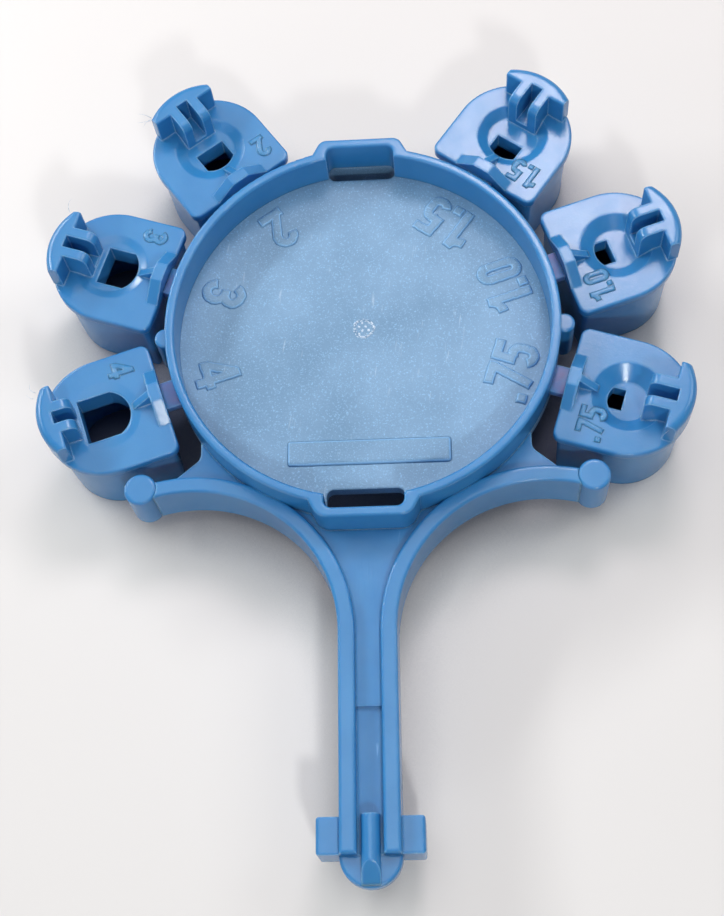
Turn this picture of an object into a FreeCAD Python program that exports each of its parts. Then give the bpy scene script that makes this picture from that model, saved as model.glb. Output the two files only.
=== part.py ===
"""Nozzle rack of a pop-up rotor sprinkler: a round pan on a T-shaped pull-up handle, with six
break-off nozzles round it. Lengths are millimetres and angles are degrees.

The origin is the centre of the pan's flat underside. +Z points up out of the pan, and the handle
runs along -Y. The nozzles stand on the table, and the handle hangs clear of it.
"""

import FreeCAD, Part

import math
import os
from types import SimpleNamespace

import Sketcher

SIZES = {
    # pan
    "pan_radius": 21.0,
    "pan_wall": 1.0,
    "pan_floor_thickness": 1.5,
    "pan_depth": 4.3,
    "pan_edge_round": 0.25,
    # bumps of the pan's wall, and the slots inside them
    "bump_rise": 1.1,
    "bump_flare": 1.2,
    "bump_wall": 1.0,
    "bump_side_wall": 0.6,
    "slot_corner": 0.8,
    "slot_skirt_depth": 3.0,
    "slot_skirt_wall": 0.6,
    # pegs beside the pan
    "peg_radius": 1.12,
    "peg_stand_off": 0.5,
    "peg_top": 2.8,
    "peg_foot": -3.0,
    # handle ribs
    "rib_top": 2.4,
    "rib_depth": 6.0,
    "rib_thickness": 1.7,
    "rib_gap": 2.6,
    "rib_edge_round": 0.3,
    "rib_run_length": 21.8,
    "horn_inner_radius": 15.3,
    "horn_sink": 0.265,
    "horn_overrun_angle": 0.54,
    "horn_knob_radius": 1.7,
    "horn_knob_shift": 0.515,
    "horn_knob_clearance": 0.765,
    # webs between pan and ribs
    "web_top": 1.4,
    "web_thickness": 1.2,
    "web_step_run": 7.5,
    "web_step_drop": 0.5,
    "gusset_inset": 0.9,
    "gusset_rise": 2.3,
    "gusset_width": 6.9,
    "gusset_drop": 5.9,
    "gusset_slope_angle": 40.0,
    "gusset_corner_round": 1.2,
    # key at the end of the handle
    "lug_width": 2.3,
    "lug_length": 3.6,
    "lug_top": 1.4,
    "tip_overlap": 0.1,
    "tip_thickness": 2.0,
    "spine_clearance": 0.35,
    "spine_straight": 0.5,
    "spine_lead": 3.8,
    "spine_length": 6.7,
    "spine_slope_length": 2.3,
    # fan of nozzles
    "fan_step_angle": 36.0,
    # one nozzle
    "face_top": 3.0,
    "face_half_width": 6.6,
    "face_inner_reach": 6.5,
    "face_corner": 1.0,
    "face_edge_round": 0.2,
    "lip_thickness": 1.0,
    "plug_inset": 0.45,
    "plug_depth": 10.2,
    "plug_wall": 1.2,
    "plug_draft_angle": 1.5,
    "hollow_corner": 0.8,
    "front_thickness": 3.0,
    "recess_radius": 3.9,
    "recess_margin": 0.1,
    # pull tab of a nozzle
    "tab_height": 3.4,
    "tab_half_width": 3.75,
    "tab_inner": 4.4,
    "tab_overhang": 0.1,
    "tab_outer_round": 0.8,
    "tab_rib_half_width": 1.8,
    "tab_slot_width": 1.4,
    "tab_slot_bite": 0.5,
    "tab_rib_start": 1.8,
    "tab_rib_round": 1.0,
    "tab_rib_clearance": 0.35,
    # seat rib along a nozzle's flat side
    "seat_half_length": 3.3,
    "seat_crest_half_length": 1.0,
    "seat_width": 1.3,
    "seat_height": 1.7,
    "fin_length": 2.1,
    "fin_thickness": 0.8,
    # break-off gates
    "gate_length": 1.5,
    "gate_width": 3.1,
    "gate_thickness": 0.9,
    "gate_drop": 0.1,
}

# Each bump's own sizes: half its outer face's width, the round of its corners, and how far its
# slot bites into the pan's floor.
BUMP_SIZES = {
    "rear": {"half_width": 4.3, "corner": 1.1, "slot_bite": 0.6},
    "front": {"half_width": 4.7, "corner": 1.7, "slot_bite": 2.3},
}

# Which way each bump faces along Y.
BUMP_TURNS = {"rear": 1, "front": -1}

# Each nozzle's own sizes: how far its orifice's flat side lies outside its axis, half the
# orifice's width, the radius of its round side, and the depth of the recess around it.
NOZZLE_SIZES = {
    "4": {"flat": 2.45, "half_width": 2.55, "round": 2.8, "recess": 0.12},
    "3": {"flat": 1.15, "half_width": 2.2, "round": 2.9, "recess": 0.25},
    "2": {"flat": 0.4, "half_width": 1.75, "round": 2.6, "recess": 0.5},
    "1_5": {"flat": -0.4, "half_width": 1.6, "round": 2.7, "recess": 0.8},
    "1_0": {"flat": -0.5, "half_width": 1.4, "round": 2.3, "recess": 1.0},
    "0_75": {"flat": -0.4, "half_width": 1.2, "round": 2.1, "recess": 1.3},
}

# Where each nozzle stands in the fan: its side of the handle and its step up from the lowest.
NOZZLE_PLACES = {
    "4": ("left", 0),
    "3": ("left", 1),
    "2": ("left", 2),
    "1_5": ("right", 2),
    "1_0": ("right", 1),
    "0_75": ("right", 0),
}

# How close two numbers lie that stand for the same place.
SAME_PLACE = 1e-5


class Size:
    """A length or an angle: the sheet formula that drives it, and its present value."""

    def __init__(self, formula, value):
        self.formula = formula
        self.value = value

    def __add__(self, other):
        return combined(self, "+", other, self.value + value_of(other))

    def __sub__(self, other):
        return combined(self, "-", other, self.value - value_of(other))

    def __mul__(self, other):
        return combined(self, "*", other, self.value * value_of(other))

    def __truediv__(self, other):
        return combined(self, "/", other, self.value / value_of(other))

    def __neg__(self):
        return Size(f"(0 - {self.formula})", -self.value)


def value_of(size):
    return size.value if isinstance(size, Size) else size


def formula_of(size):
    return size.formula if isinstance(size, Size) else str(size)


def combined(first, sign, second, value):
    return Size(f"({formula_of(first)} {sign} {formula_of(second)})", value)


def cosine(angle):
    return Size(f"cos({angle.formula})", math.cos(math.radians(angle.value)))


def sine(angle):
    return Size(f"sin({angle.formula})", math.sin(math.radians(angle.value)))


def arc_cosine(share):
    return Size(f"(acos({share.formula}) / 1 deg)", math.degrees(math.acos(share.value)))


def arc_sine(share):
    return Size(f"(asin({share.formula}) / 1 deg)", math.degrees(math.asin(share.value)))


def larger(first, second):
    return Size(f"max({first.formula}; {second.formula})", max(first.value, second.value))


ZERO = Size("0", 0.0)
QUARTER_TURN = Size("90", 90.0)
HALF_TURN = Size("180", 180.0)


DOC = FreeCAD.newDocument("nozzle_rack")
SHEET = DOC.addObject("Spreadsheet::Sheet", "Sizes")
S = SimpleNamespace()


def write_size(name, content, value):
    """Write one named size into the sheet's next row, and keep it under its name."""
    row = len(vars(S)) + 1
    SHEET.set(f"A{row}", name)
    SHEET.set(f"B{row}", content)
    SHEET.setAlias(f"B{row}", name)
    setattr(S, name, Size(f"Sizes.{name}", value))


def work_out(name, size):
    """Write a size that follows from others into the sheet as their formula."""
    write_size(name, "=" + size.formula.replace("Sizes.", ""), size.value)


for size_name, size_value in SIZES.items():
    write_size(size_name, str(size_value), size_value)
for bump_name, bump_sizes in BUMP_SIZES.items():
    for size_name, size_value in bump_sizes.items():
        write_size(f"{bump_name}_bump_{size_name}", str(size_value), size_value)
for nozzle_name, nozzle_sizes in NOZZLE_SIZES.items():
    for size_name, size_value in nozzle_sizes.items():
        write_size(f"orifice_{nozzle_name}_{size_name}", str(size_value), size_value)

# pan
work_out("pan_top", S.pan_floor_thickness + S.pan_depth)
work_out("pan_bore", S.pan_radius - S.pan_wall)
work_out("bump_reach", S.pan_radius + S.bump_rise)
work_out("slot_reach", S.bump_reach - S.bump_wall)
work_out("rear_slot_half_width", S.rear_bump_half_width - S.bump_side_wall)
work_out("front_slot_half_width", S.front_bump_half_width - S.bump_side_wall)
work_out("rear_slot_start", S.pan_bore - S.rear_bump_slot_bite)
work_out("front_slot_start", S.pan_bore - S.front_bump_slot_bite)
# nozzles: their axes stand in a ring round the pan
work_out("nozzle_axis_radius", S.pan_radius + S.gate_length + S.face_inner_reach)
work_out("face_corner_inner", S.face_corner - S.plug_inset)
# handle ribs: their horns bear on the pan's side
work_out("rib_inner", S.rib_gap / 2)
work_out("rib_outer", S.rib_inner + S.rib_thickness)
work_out("rib_foot", S.rib_top - S.rib_depth)
work_out("horn_centre_side", S.rib_outer + S.horn_inner_radius)
work_out("horn_outer_radius", S.horn_inner_radius + S.rib_thickness)
work_out("horn_distance", S.pan_radius + S.horn_outer_radius - S.horn_sink)
work_out("horn_slope_angle", arc_cosine(S.horn_centre_side / S.horn_distance))
work_out("horn_centre_back", S.horn_distance * sine(S.horn_slope_angle))
work_out("rib_end_back", S.horn_centre_back + S.rib_run_length)
# fan: the lowest nozzles stand clear of the knobs at the horns' ends
work_out("knob_ring_radius", S.horn_inner_radius + S.rib_thickness / 2 + S.horn_knob_shift)
work_out("knob_room", S.face_half_width + S.horn_knob_clearance + S.horn_knob_radius)
work_out(
    "fan_first_angle",
    arc_sine((S.knob_ring_radius + S.knob_room) / S.horn_distance) - S.horn_slope_angle,
)
work_out("horn_end_angle", QUARTER_TURN + S.fan_first_angle - S.horn_overrun_angle)
work_out("horn_knob_side", S.horn_centre_side + S.knob_ring_radius * cosine(S.horn_end_angle))
work_out("horn_knob_back", S.horn_centre_back - S.knob_ring_radius * sine(S.horn_end_angle))
# pegs: each stands halfway between the two lowest nozzles of its side
work_out("peg_angle", S.fan_first_angle + S.fan_step_angle / 2)
work_out("peg_centre_radius", S.pan_radius + S.peg_stand_off)
# webs
work_out("web_foot", S.web_top - S.web_thickness)
work_out("web_step_back", S.horn_centre_back + S.web_step_run)
work_out("gusset_side", S.horn_centre_side - S.gusset_inset)
work_out("gusset_corner_back", S.horn_centre_back - S.horn_outer_radius - S.gusset_rise)
# key
work_out("lug_reach", S.rib_outer + S.lug_width)
work_out("tip_radius", S.rib_outer + S.tip_overlap)
work_out("tip_top", S.web_top - S.web_step_drop)
work_out("spine_half_width", S.rib_inner - S.spine_clearance)
work_out("spine_rise", S.spine_straight + S.spine_half_width)
work_out("spine_start_back", S.rib_end_back - S.spine_lead)
DOC.recompute()


# ---- sketches and features ----


def bind(feature, path, size):
    feature.setExpression(path, formula_of(size))


def new_body(label):
    body = DOC.addObject("PartDesign::Body", label)
    body.Label = label
    return body


def plane(body, role):
    return next(item for item in body.Origin.OriginFeatures if item.Role == role)


def new_sketch(body, name, role="XY_Plane", level=None):
    """A sketch on one of the body's own planes, lifted to a level where one is given."""
    sketch = body.newObject("Sketcher::SketchObject", f"{body.Label}_{name}")
    sketch.AttachmentSupport = [(plane(body, role), "")]
    sketch.MapMode = "FlatFace"
    if level is not None:
        bind(sketch, "AttachmentOffset.Base.z", level)
    return sketch


def dimension(sketch, name, size, kind, *geometry):
    """A named dimension of the sketch, driven by the sheet."""
    index = sketch.addConstraint(Sketcher.Constraint(kind, *geometry, value_of(size)))
    sketch.renameConstraint(index, name)
    bind(sketch, f"Constraints.{name}", size)


def place_point(sketch, name, geometry, end, across, up):
    """Hold one point of the sketch at a place given by two sizes."""
    for axis, kind, size in (("across", "DistanceX", across), ("up", "DistanceY", up)):
        dimension(sketch, f"{name}_{axis}", size, kind, -1, 1, geometry, end)


def circle(body, name, across, up, radius, level=None):
    sketch = new_sketch(body, name, level=level)
    centre = FreeCAD.Vector(value_of(across), value_of(up), 0)
    sketch.addGeometry(Part.Circle(centre, FreeCAD.Vector(0, 0, 1), value_of(radius)), False)
    dimension(sketch, "radius", radius, "Radius", 0)
    place_point(sketch, "centre", 0, 3, across, up)
    return sketch


def polygon(body, name, corners, role="XY_Plane", level=None):
    """A closed outline of straight edges through the given corners."""
    sketch = new_sketch(body, name, role, level)
    points = [FreeCAD.Vector(value_of(across), value_of(up), 0) for across, up in corners]
    for index, point in enumerate(points):
        following = points[(index + 1) % len(points)]
        sketch.addGeometry(Part.LineSegment(point, following), False)
    for index in range(len(points)):
        link = Sketcher.Constraint("Coincident", index, 2, (index + 1) % len(points), 1)
        sketch.addConstraint(link)
    for index, (across, up) in enumerate(corners):
        place_point(sketch, f"corner_{index}", index, 1, across, up)
    return sketch


def rectangle(body, name, low, high, role="XY_Plane", level=None):
    corners = [low, (high[0], low[1]), high, (low[0], high[1])]
    return polygon(body, name, corners, role, level)


def volume_of(body):
    return 0.0 if body.Shape.isNull() else body.Shape.Volume


def pad(body, name, sketch, length, symmetric=False, downwards=False):
    """Raise the sketch into a solid, and check that the body keeps what it had and grows."""
    before = volume_of(body)
    feature = body.newObject("PartDesign::Pad", f"{body.Label}_{name}")
    feature.Profile = sketch
    bind(feature, "Length", length)
    feature.SideType = "Symmetric" if symmetric else "One side"
    feature.Reversed = downwards
    DOC.recompute()
    if volume_of(body) <= before:
        raise RuntimeError(f"{feature.Label} adds nothing")
    return feature


def pocket(body, name, sketch, depth, symmetric=False, upwards=False):
    """Cut the sketch out of the body, and check that it takes something away."""
    before = volume_of(body)
    feature = body.newObject("PartDesign::Pocket", f"{body.Label}_{name}")
    feature.Profile = sketch
    bind(feature, "Length", depth)
    feature.SideType = "Symmetric" if symmetric else "One side"
    feature.Reversed = upwards
    DOC.recompute()
    if volume_of(body) >= before:
        raise RuntimeError(f"{feature.Label} cuts nothing")
    return feature


def edges_where(feature, test):
    """Names of the feature's edges whose every corner and middle passes the test."""
    names = []
    for index, edge in enumerate(feature.Shape.Edges, start=1):
        middle = edge.valueAt((edge.FirstParameter + edge.LastParameter) / 2)
        if all(test(point) for point in [vertex.Point for vertex in edge.Vertexes] + [middle]):
            names.append(f"Edge{index}")
    return names


def round_edges(body, name, feature, radius, test):
    fillet = body.newObject("PartDesign::Fillet", f"{body.Label}_{name}")
    fillet.Base = (feature, edges_where(feature, test))
    bind(fillet, "Radius", radius)
    body.Tip = fillet
    DOC.recompute()
    return fillet


def near(number, size):
    return abs(number - value_of(size)) < SAME_PLACE


def is_any(number, sizes):
    return any(near(number, size) for size in sizes)


def at_level(*levels):
    return lambda point: is_any(point.z, levels)


def upright_at(half, *places):
    """Whether a point stands half a width beside the middle, at one of the places along Y."""
    return lambda point: near(abs(point.x), half) and is_any(point.y, places)


# ---- pan ----


def bump_size(name, size):
    return getattr(S, f"{name}_bump_{size}")


def bump_outline(body, name, level):
    """The flared box that the pan's wall steps out into."""
    turn = BUMP_TURNS[name]
    half = bump_size(name, "half_width")
    root_half = half + S.bump_flare
    root_start = (S.pan_radius - half) * turn
    root_end = (S.pan_radius - S.bump_flare) * turn
    reach = S.bump_reach * turn
    corners = [
        (-root_half, root_start),
        (root_half, root_start),
        (root_half, root_end),
        (half, reach),
        (-half, reach),
        (-root_half, root_end),
    ]
    return polygon(body, f"{name}_bump_sketch", corners, level=level)


def round_bump(body, name, feature):
    """Round the upright edges where the bump's outer face meets its flared sides."""
    half, reach = bump_size(name, "half_width"), S.bump_reach * BUMP_TURNS[name]
    corner = bump_size(name, "corner")
    round_edges(body, f"{name}_bump_rounds", feature, corner, upright_at(half, reach))


def slot_outline(body, name, start, level, wall=ZERO):
    """A slot from above, set out by a wall: its sketch, and the test for its corners."""
    turn = BUMP_TURNS[name]
    half = getattr(S, f"{name}_slot_half_width") + wall
    near_end = (start - wall) * turn
    far_end = (S.slot_reach + wall) * turn
    label = f"{name}_slot_sketch" if wall is ZERO else f"{name}_skirt_sketch"
    sketch = rectangle(body, label, (-half, near_end), (half, far_end), level=level)
    return sketch, upright_at(half, near_end, far_end)


def pan_outline(body, level, height):
    """The pan's round outline with its two bumps, as a solid slab."""
    pad(body, "disc", circle(body, "disc_sketch", 0, 0, S.pan_radius, level), height)
    for name in BUMP_TURNS:
        bump = pad(body, f"{name}_bump", bump_outline(body, name, level), height)
        round_bump(body, name, bump)


def pan_floor():
    """Round floor plate, open at both slots, with a skirt that hangs round the rear one."""
    body = new_body("pan_floor")
    pan_outline(body, ZERO, S.pan_floor_thickness)
    wall = S.slot_skirt_wall
    sketch, corners = slot_outline(body, "rear", S.rear_slot_start, ZERO, wall)
    skirt = pad(body, "skirt", sketch, S.slot_skirt_depth, downwards=True)
    round_edges(body, "skirt_rounds", skirt, S.slot_corner + wall, corners)
    for name, start, drop in (
        ("rear", S.rear_slot_start, S.slot_skirt_depth),
        ("front", S.front_slot_start, ZERO),
    ):
        sketch, corners = slot_outline(body, name, start, -drop)
        slot = pocket(body, f"{name}_slot", sketch, S.pan_floor_thickness + drop, upwards=True)
        round_edges(body, f"{name}_slot_rounds", slot, S.slot_corner, corners)
    return body


def pan_rim():
    """Upright wall that stands on the floor plate and steps out round both slots."""
    body = new_body("pan_rim")
    level = S.pan_floor_thickness
    pan_outline(body, level, S.pan_depth)
    bore = circle(body, "bore_sketch", 0, 0, S.pan_bore, level)
    pocket(body, "bore", bore, S.pan_depth, upwards=True)
    for name in BUMP_TURNS:
        start = S.pan_bore - bump_size(name, "half_width")
        sketch, corners = slot_outline(body, name, start, level)
        window = pocket(body, f"{name}_window", sketch, S.pan_depth, upwards=True)
        hollow = round_edges(body, f"{name}_window_rounds", window, S.slot_corner, corners)
    round_edges(body, "top_rounds", hollow, S.pan_edge_round, at_level(S.pan_top))
    return body


def rim_peg(side, turn):
    """Round peg that stands against the pan's side between two nozzles."""
    body = new_body(f"{side}_rim_peg")
    across = S.peg_centre_radius * cosine(S.peg_angle) * turn
    up = S.peg_centre_radius * sine(S.peg_angle)
    height = S.peg_top - S.peg_foot
    sketch = circle(body, "peg_sketch", across, up, S.peg_radius, S.peg_foot)
    peg = pad(body, "peg", sketch, height)
    round_edges(body, "peg_round", peg, S.pan_edge_round, at_level(S.peg_top))
    pan = circle(body, "pan_sketch", 0, 0, S.pan_radius, S.peg_foot)
    pocket(body, "pan_side", pan, height, upwards=True)
    return body


# ---- handle ----


def rib_outline(body, turn):
    """A rib from above: a straight run with a ring's arc on top, cut upright at its far end."""
    sketch = new_sketch(body, "sketch", level=S.rib_foot)
    side, back = S.horn_centre_side.value, -S.horn_centre_back.value
    far, foot = S.horn_knob_side.value, -S.rib_end_back.value
    inner, outer = S.rib_inner.value, S.rib_outer.value
    ends = []
    arcs = []
    for radius in (S.horn_outer_radius.value, S.horn_inner_radius.value):
        angle = math.acos((far - side) / radius)
        ends.append((far * turn, back + radius * math.sin(angle)))
        ring = Part.Circle(
            FreeCAD.Vector(side * turn, back, 0), FreeCAD.Vector(0, 0, 1), radius
        )
        span = (angle, math.pi) if turn > 0 else (0, math.pi - angle)
        arcs.append(Part.ArcOfCircle(ring, *span))
    near_point, far_point = (2, 1) if turn > 0 else (1, 2)
    corners = [(outer * turn, back), (outer * turn, foot), (inner * turn, foot), (inner * turn, back)]
    corners = [FreeCAD.Vector(x, y, 0) for x, y in corners]
    ends = [FreeCAD.Vector(x, y, 0) for x, y in ends]
    sides = [Part.LineSegment(corners[i], corners[i + 1]) for i in range(3)]
    sketch.addGeometry([arcs[0], Part.LineSegment(*ends), arcs[1], *sides], False)
    for link in [(0, far_point, 1, 1), (1, 2, 2, far_point), (3, 2, 4, 1), (4, 2, 5, 1), (0, 3, 2, 3)]:
        sketch.addConstraint(Sketcher.Constraint("Coincident", *link))
    sketch.addConstraint(Sketcher.Constraint("Tangent", 2, near_point, 3, 1))
    sketch.addConstraint(Sketcher.Constraint("Tangent", 5, 2, 0, near_point))
    for line in (1, 3, 5):
        sketch.addConstraint(Sketcher.Constraint("Vertical", line))
    sketch.addConstraint(Sketcher.Constraint("Horizontal", 4))
    dimension(sketch, "outer_radius", S.horn_outer_radius, "Radius", 0)
    dimension(sketch, "inner_radius", S.horn_inner_radius, "Radius", 2)
    place_point(sketch, "centre", 0, 3, S.horn_centre_side * turn, -S.horn_centre_back)
    dimension(sketch, "far_side", S.horn_knob_side * turn, "DistanceX", -1, 1, 1, 1)
    dimension(sketch, "foot", -S.rib_end_back, "DistanceY", -1, 1, 4, 1)
    return sketch


def handle_rib(side, turn):
    """Upright rib: a straight run beside the handle's middle that curves out into a horn."""
    body = new_body(f"{side}_handle_rib")
    rib = pad(body, "rib", rib_outline(body, turn), S.rib_depth)
    levels = at_level(S.rib_top, S.rib_foot)
    round_edges(body, "long_rounds", rib, S.rib_edge_round, levels)
    pan = circle(body, "pan_sketch", 0, 0, S.pan_radius, S.rib_foot)
    pocket(body, "pan_side", pan, S.rib_depth, upwards=True)
    knob_place = (S.horn_knob_side * turn, -S.horn_knob_back)
    knob = circle(body, "knob_sketch", *knob_place, S.horn_knob_radius, S.rib_foot)
    pocket(body, "knob_side", knob, S.rib_depth, upwards=True)
    return body


def horn_knob(side, turn):
    """Round knob at the free end of a horn."""
    body = new_body(f"{side}_horn_knob")
    place = (S.horn_knob_side * turn, -S.horn_knob_back)
    sketch = circle(body, "knob_sketch", *place, S.horn_knob_radius, S.rib_foot)
    knob = pad(body, "knob", sketch, S.rib_depth)
    round_edges(body, "knob_rounds", knob, S.rib_edge_round, at_level(S.rib_top, S.rib_foot))
    return body


def cut_handle_ribs(body, height):
    """Take both ribs' round outlines out of a web, so that it ends at their faces."""
    for side, turn in (("left", -1), ("right", 1)):
        place = (S.horn_centre_side * turn, -S.horn_centre_back)
        horn = circle(body, f"{side}_horn_sketch", *place, S.horn_outer_radius, S.web_foot)
        pocket(body, f"{side}_horn", horn, height, upwards=True)


def stem_web():
    """Flat web between the ribs, from the pan down the handle, with one step in its top."""
    body = new_body("stem_web")
    flare_half = S.horn_centre_side / 2
    low = (-flare_half, -S.horn_centre_back)
    high = (flare_half, -(S.pan_radius - S.front_bump_half_width))
    flare = rectangle(body, "flare_sketch", low, high, level=S.web_foot)
    pad(body, "flare", flare, S.web_thickness)
    cut_handle_ribs(body, S.web_thickness)
    pan = circle(body, "pan_sketch", 0, 0, S.pan_radius, S.web_foot)
    pocket(body, "pan_side", pan, S.web_thickness, upwards=True)
    bump = bump_outline(body, "front", S.web_foot)
    bump_side = pocket(body, "bump_side", bump, S.web_thickness, upwards=True)
    round_bump(body, "front", bump_side)
    low = (-S.rib_inner, -S.web_step_back)
    high = (S.rib_inner, -S.horn_centre_back)
    upper = rectangle(body, "upper_sketch", low, high, level=S.web_foot)
    pad(body, "upper", upper, S.web_thickness)
    low = (-S.rib_inner, -S.rib_end_back)
    high = (S.rib_inner, -S.web_step_back)
    lower = rectangle(body, "lower_sketch", low, high, level=S.tip_top)
    pad(body, "lower", lower, S.web_thickness, downwards=True)
    return body


def gusset(side, turn):
    """Flat web that fills the corner between the pan's side and a horn."""
    body = new_body(f"{side}_gusset")
    slant = S.gusset_drop * cosine(S.gusset_slope_angle) / sine(S.gusset_slope_angle)
    foot_back = -(S.gusset_corner_back + S.gusset_drop)
    inner_side = (S.gusset_side - S.gusset_width) * turn
    corners = [
        (S.gusset_side * turn, -S.gusset_corner_back),
        (S.gusset_side * turn, ZERO),
        (inner_side, ZERO),
        (inner_side, foot_back),
        ((S.gusset_side + slant) * turn, foot_back),
    ]
    blank = pad(body, "blank", polygon(body, "sketch", corners, level=S.web_foot), S.web_thickness)
    round_edges(
        body,
        "corner_round",
        blank,
        S.gusset_corner_round,
        lambda point: near(abs(point.x), S.gusset_side) and near(-point.y, S.gusset_corner_back),
    )
    pan = circle(body, "pan_sketch", 0, 0, S.pan_radius, S.web_foot)
    pocket(body, "pan_side", pan, S.web_thickness, upwards=True)
    place = (S.horn_centre_side * turn, -S.horn_centre_back)
    horn = circle(body, "horn_sketch", *place, S.horn_outer_radius, S.web_foot)
    pocket(body, "horn_side", horn, S.web_thickness, upwards=True)
    return body


# ---- key at the handle's end ----


def key_lug(side, turn):
    """Square lug that stands out from the side of a rib's end."""
    body = new_body(f"{side}_key_lug")
    low = (S.rib_outer * turn, -S.rib_end_back)
    high = (S.lug_reach * turn, -(S.rib_end_back - S.lug_length))
    sketch = rectangle(body, "sketch", low, high, level=S.rib_foot)
    block = pad(body, "block", sketch, S.lug_top - S.rib_foot)
    outer = S.lug_reach
    round_edges(body, "rounds", block, S.rib_edge_round, lambda point: near(abs(point.x), outer))
    return body


def key_tip():
    """Half-round blade at the end of the handle."""
    body = new_body("key_tip")
    foot = S.tip_top - S.tip_thickness
    disc = circle(body, "disc_sketch", 0, -S.rib_end_back, S.tip_radius, foot)
    blade = pad(body, "blade", disc, S.tip_thickness)
    round_edges(body, "rounds", blade, S.rib_edge_round, at_level(S.tip_top, foot))
    low = (-S.tip_radius, -S.rib_end_back)
    high = (S.tip_radius, ZERO)
    half = rectangle(body, "half_sketch", low, high, level=foot)
    pocket(body, "half", half, S.tip_thickness, upwards=True)
    return body


def key_spine():
    """Round-topped rib along the middle of the tip, sloped off at its free end."""
    body = new_body("key_spine")
    start = S.spine_start_back
    foot = S.tip_top
    shoulder = foot + S.spine_straight
    low = (-S.spine_half_width, foot)
    high = (S.spine_half_width, shoulder)
    base = rectangle(body, "base_sketch", low, high, role="XZ_Plane", level=start)
    pad(body, "base", base, S.spine_length)
    top = new_sketch(body, "top_sketch", role="XZ_Plane", level=start)
    centre = FreeCAD.Vector(0, shoulder.value, 0)
    radius = S.spine_half_width.value
    top.addGeometry(Part.Circle(centre, FreeCAD.Vector(0, 0, 1), radius), False)
    dimension(top, "radius", S.spine_half_width, "Radius", 0)
    place_point(top, "centre", 0, 3, ZERO, shoulder)
    pad(body, "crown", top, S.spine_length)
    end = -(start + S.spine_length)
    clear = end - S.spine_slope_length
    corners = [
        (end, foot),
        (end + S.spine_slope_length, foot + S.spine_rise),
        (end + S.spine_slope_length, S.pan_top),
        (clear, S.pan_top),
        (clear, foot),
    ]
    slope = polygon(body, "slope_sketch", corners, role="YZ_Plane")
    pocket(body, "slope", slope, S.rib_gap, symmetric=True)
    below = rectangle(body, "under_sketch", (clear, S.rib_foot), (ZERO, foot), role="YZ_Plane")
    pocket(body, "under", below, S.rib_gap, symmetric=True)
    return body


# ---- nozzles ----


def nozzle_angle(nozzle):
    side, step = NOZZLE_PLACES[nozzle]
    right = S.fan_first_angle + S.fan_step_angle * step
    return right if side == "right" else HALF_TURN - right


def stand_in_fan(body, nozzle):
    """Move a body made about its own nozzle's axis to the nozzle's place in the fan."""
    angle = nozzle_angle(nozzle)
    up = FreeCAD.Vector(0, 0, 1)
    body.Placement = FreeCAD.Placement(
        FreeCAD.Vector(0, 0, 0), FreeCAD.Rotation(up, angle.value)
    )
    bind(body, "Placement.Base.x", S.nozzle_axis_radius * cosine(angle))
    bind(body, "Placement.Base.y", S.nozzle_axis_radius * sine(angle))
    bind(body, "Placement.Rotation.Angle", angle)


def nozzle_outline(body, name, inset, corner, level):
    """The nozzle's outline from above, set in all round: flat towards the pan, round outwards."""
    sketch = new_sketch(body, name, level=level)
    half = S.face_half_width - inset
    reach = S.face_inner_reach - inset
    w, a, r = half.value, -reach.value, corner.value
    up = FreeCAD.Vector(0, 0, 1)

    def arc(x, y, radius, start, stop):
        ring = Part.Circle(FreeCAD.Vector(x, y, 0), up, radius)
        return Part.ArcOfCircle(ring, math.radians(start), math.radians(stop))

    def line(x1, y1, x2, y2):
        return Part.LineSegment(FreeCAD.Vector(x1, y1, 0), FreeCAD.Vector(x2, y2, 0))

    loop = [
        line(a + r, -w, 0, -w),
        arc(0, 0, w, -90, 90),
        line(0, w, a + r, w),
        arc(a + r, w - r, r, 90, 180),
        line(a, w - r, a, -(w - r)),
        arc(a + r, -(w - r), r, 180, 270),
    ]
    sketch.addGeometry(loop, False)
    for index in range(len(loop)):
        following = (index + 1) % len(loop)
        sketch.addConstraint(Sketcher.Constraint("Tangent", index, 2, following, 1))
    sketch.addConstraint(Sketcher.Constraint("Horizontal", 0))
    sketch.addConstraint(Sketcher.Constraint("Horizontal", 2))
    sketch.addConstraint(Sketcher.Constraint("Vertical", 4))
    sketch.addConstraint(Sketcher.Constraint("Equal", 3, 5))
    sketch.addConstraint(Sketcher.Constraint("Coincident", 1, 3, -1, 1))
    dimension(sketch, "half_width", half, "Radius", 1)
    dimension(sketch, "corner", corner, "Radius", 3)
    dimension(sketch, "reach", reach, "DistanceX", 4, 1, -1, 1)
    return sketch


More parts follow.
